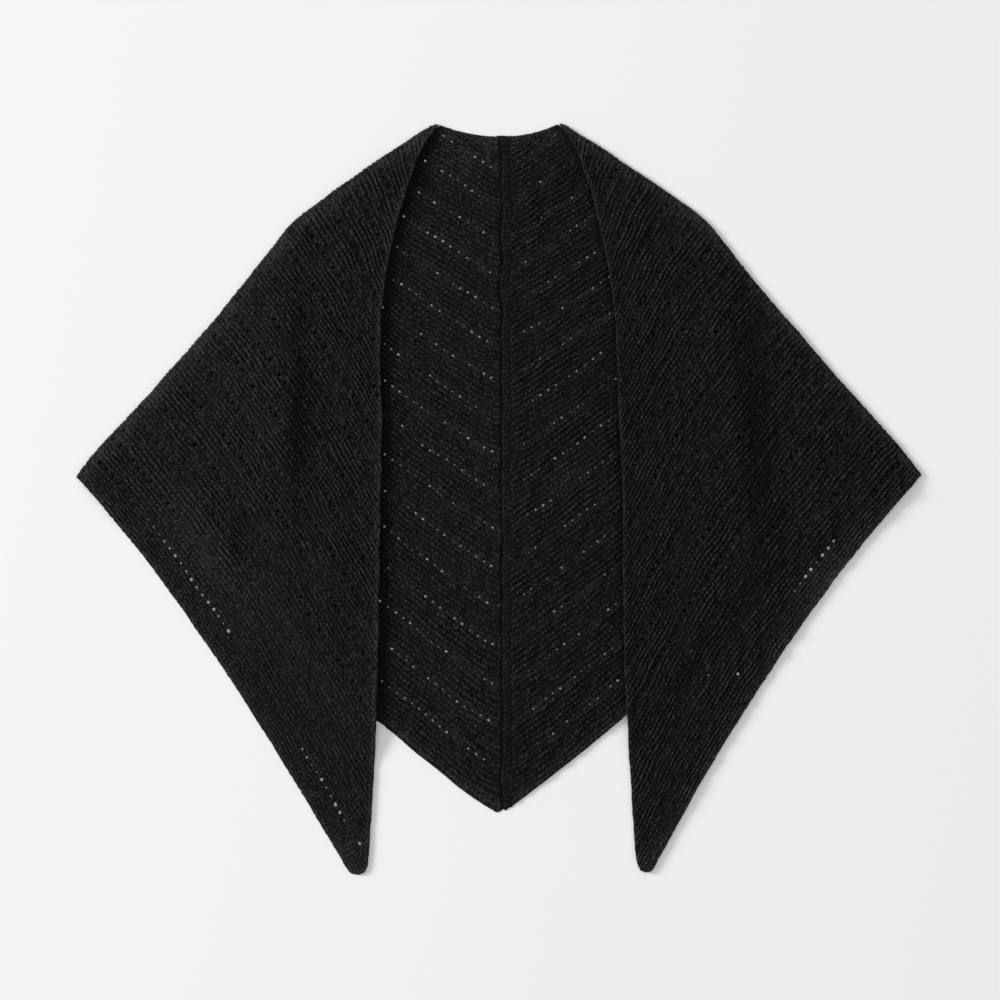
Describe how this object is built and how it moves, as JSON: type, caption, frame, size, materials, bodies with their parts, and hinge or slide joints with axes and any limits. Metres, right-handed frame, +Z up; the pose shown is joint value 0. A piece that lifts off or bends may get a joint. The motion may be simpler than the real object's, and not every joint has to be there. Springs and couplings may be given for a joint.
{
  "type": "knitted triangular shawl",
  "caption": "Triangular garter-stitch shawl laid flat with both wings folded over the shoulders, chevron eyelet rows and a middle rib.",
  "frame": {"origin": "middle of the rectangle that the laid shawl covers, on the surface it lies on", "axes": "+Z up from the surface, +Y from the point of the back towards the neck, +X across the shoulders towards the viewer's right"},
  "size_m": [0.929, 0.8219, 0.01],
  "materials": {
    "back_left": "matt black cashmere in garter stitch",
    "back_right": "matt black cashmere in garter stitch",
    "front_left": "matt black cashmere in garter stitch",
    "front_right": "matt black cashmere in garter stitch",
    "middle_rib": "matt black cashmere in stocking stitch"
  },
  "bodies": {
    "root": {"back_left": "back_left", "back_right": "back_right", "front_left": "front_left", "front_right": "front_right", "middle_rib": "middle_rib"}
  },
  "joints": []
}
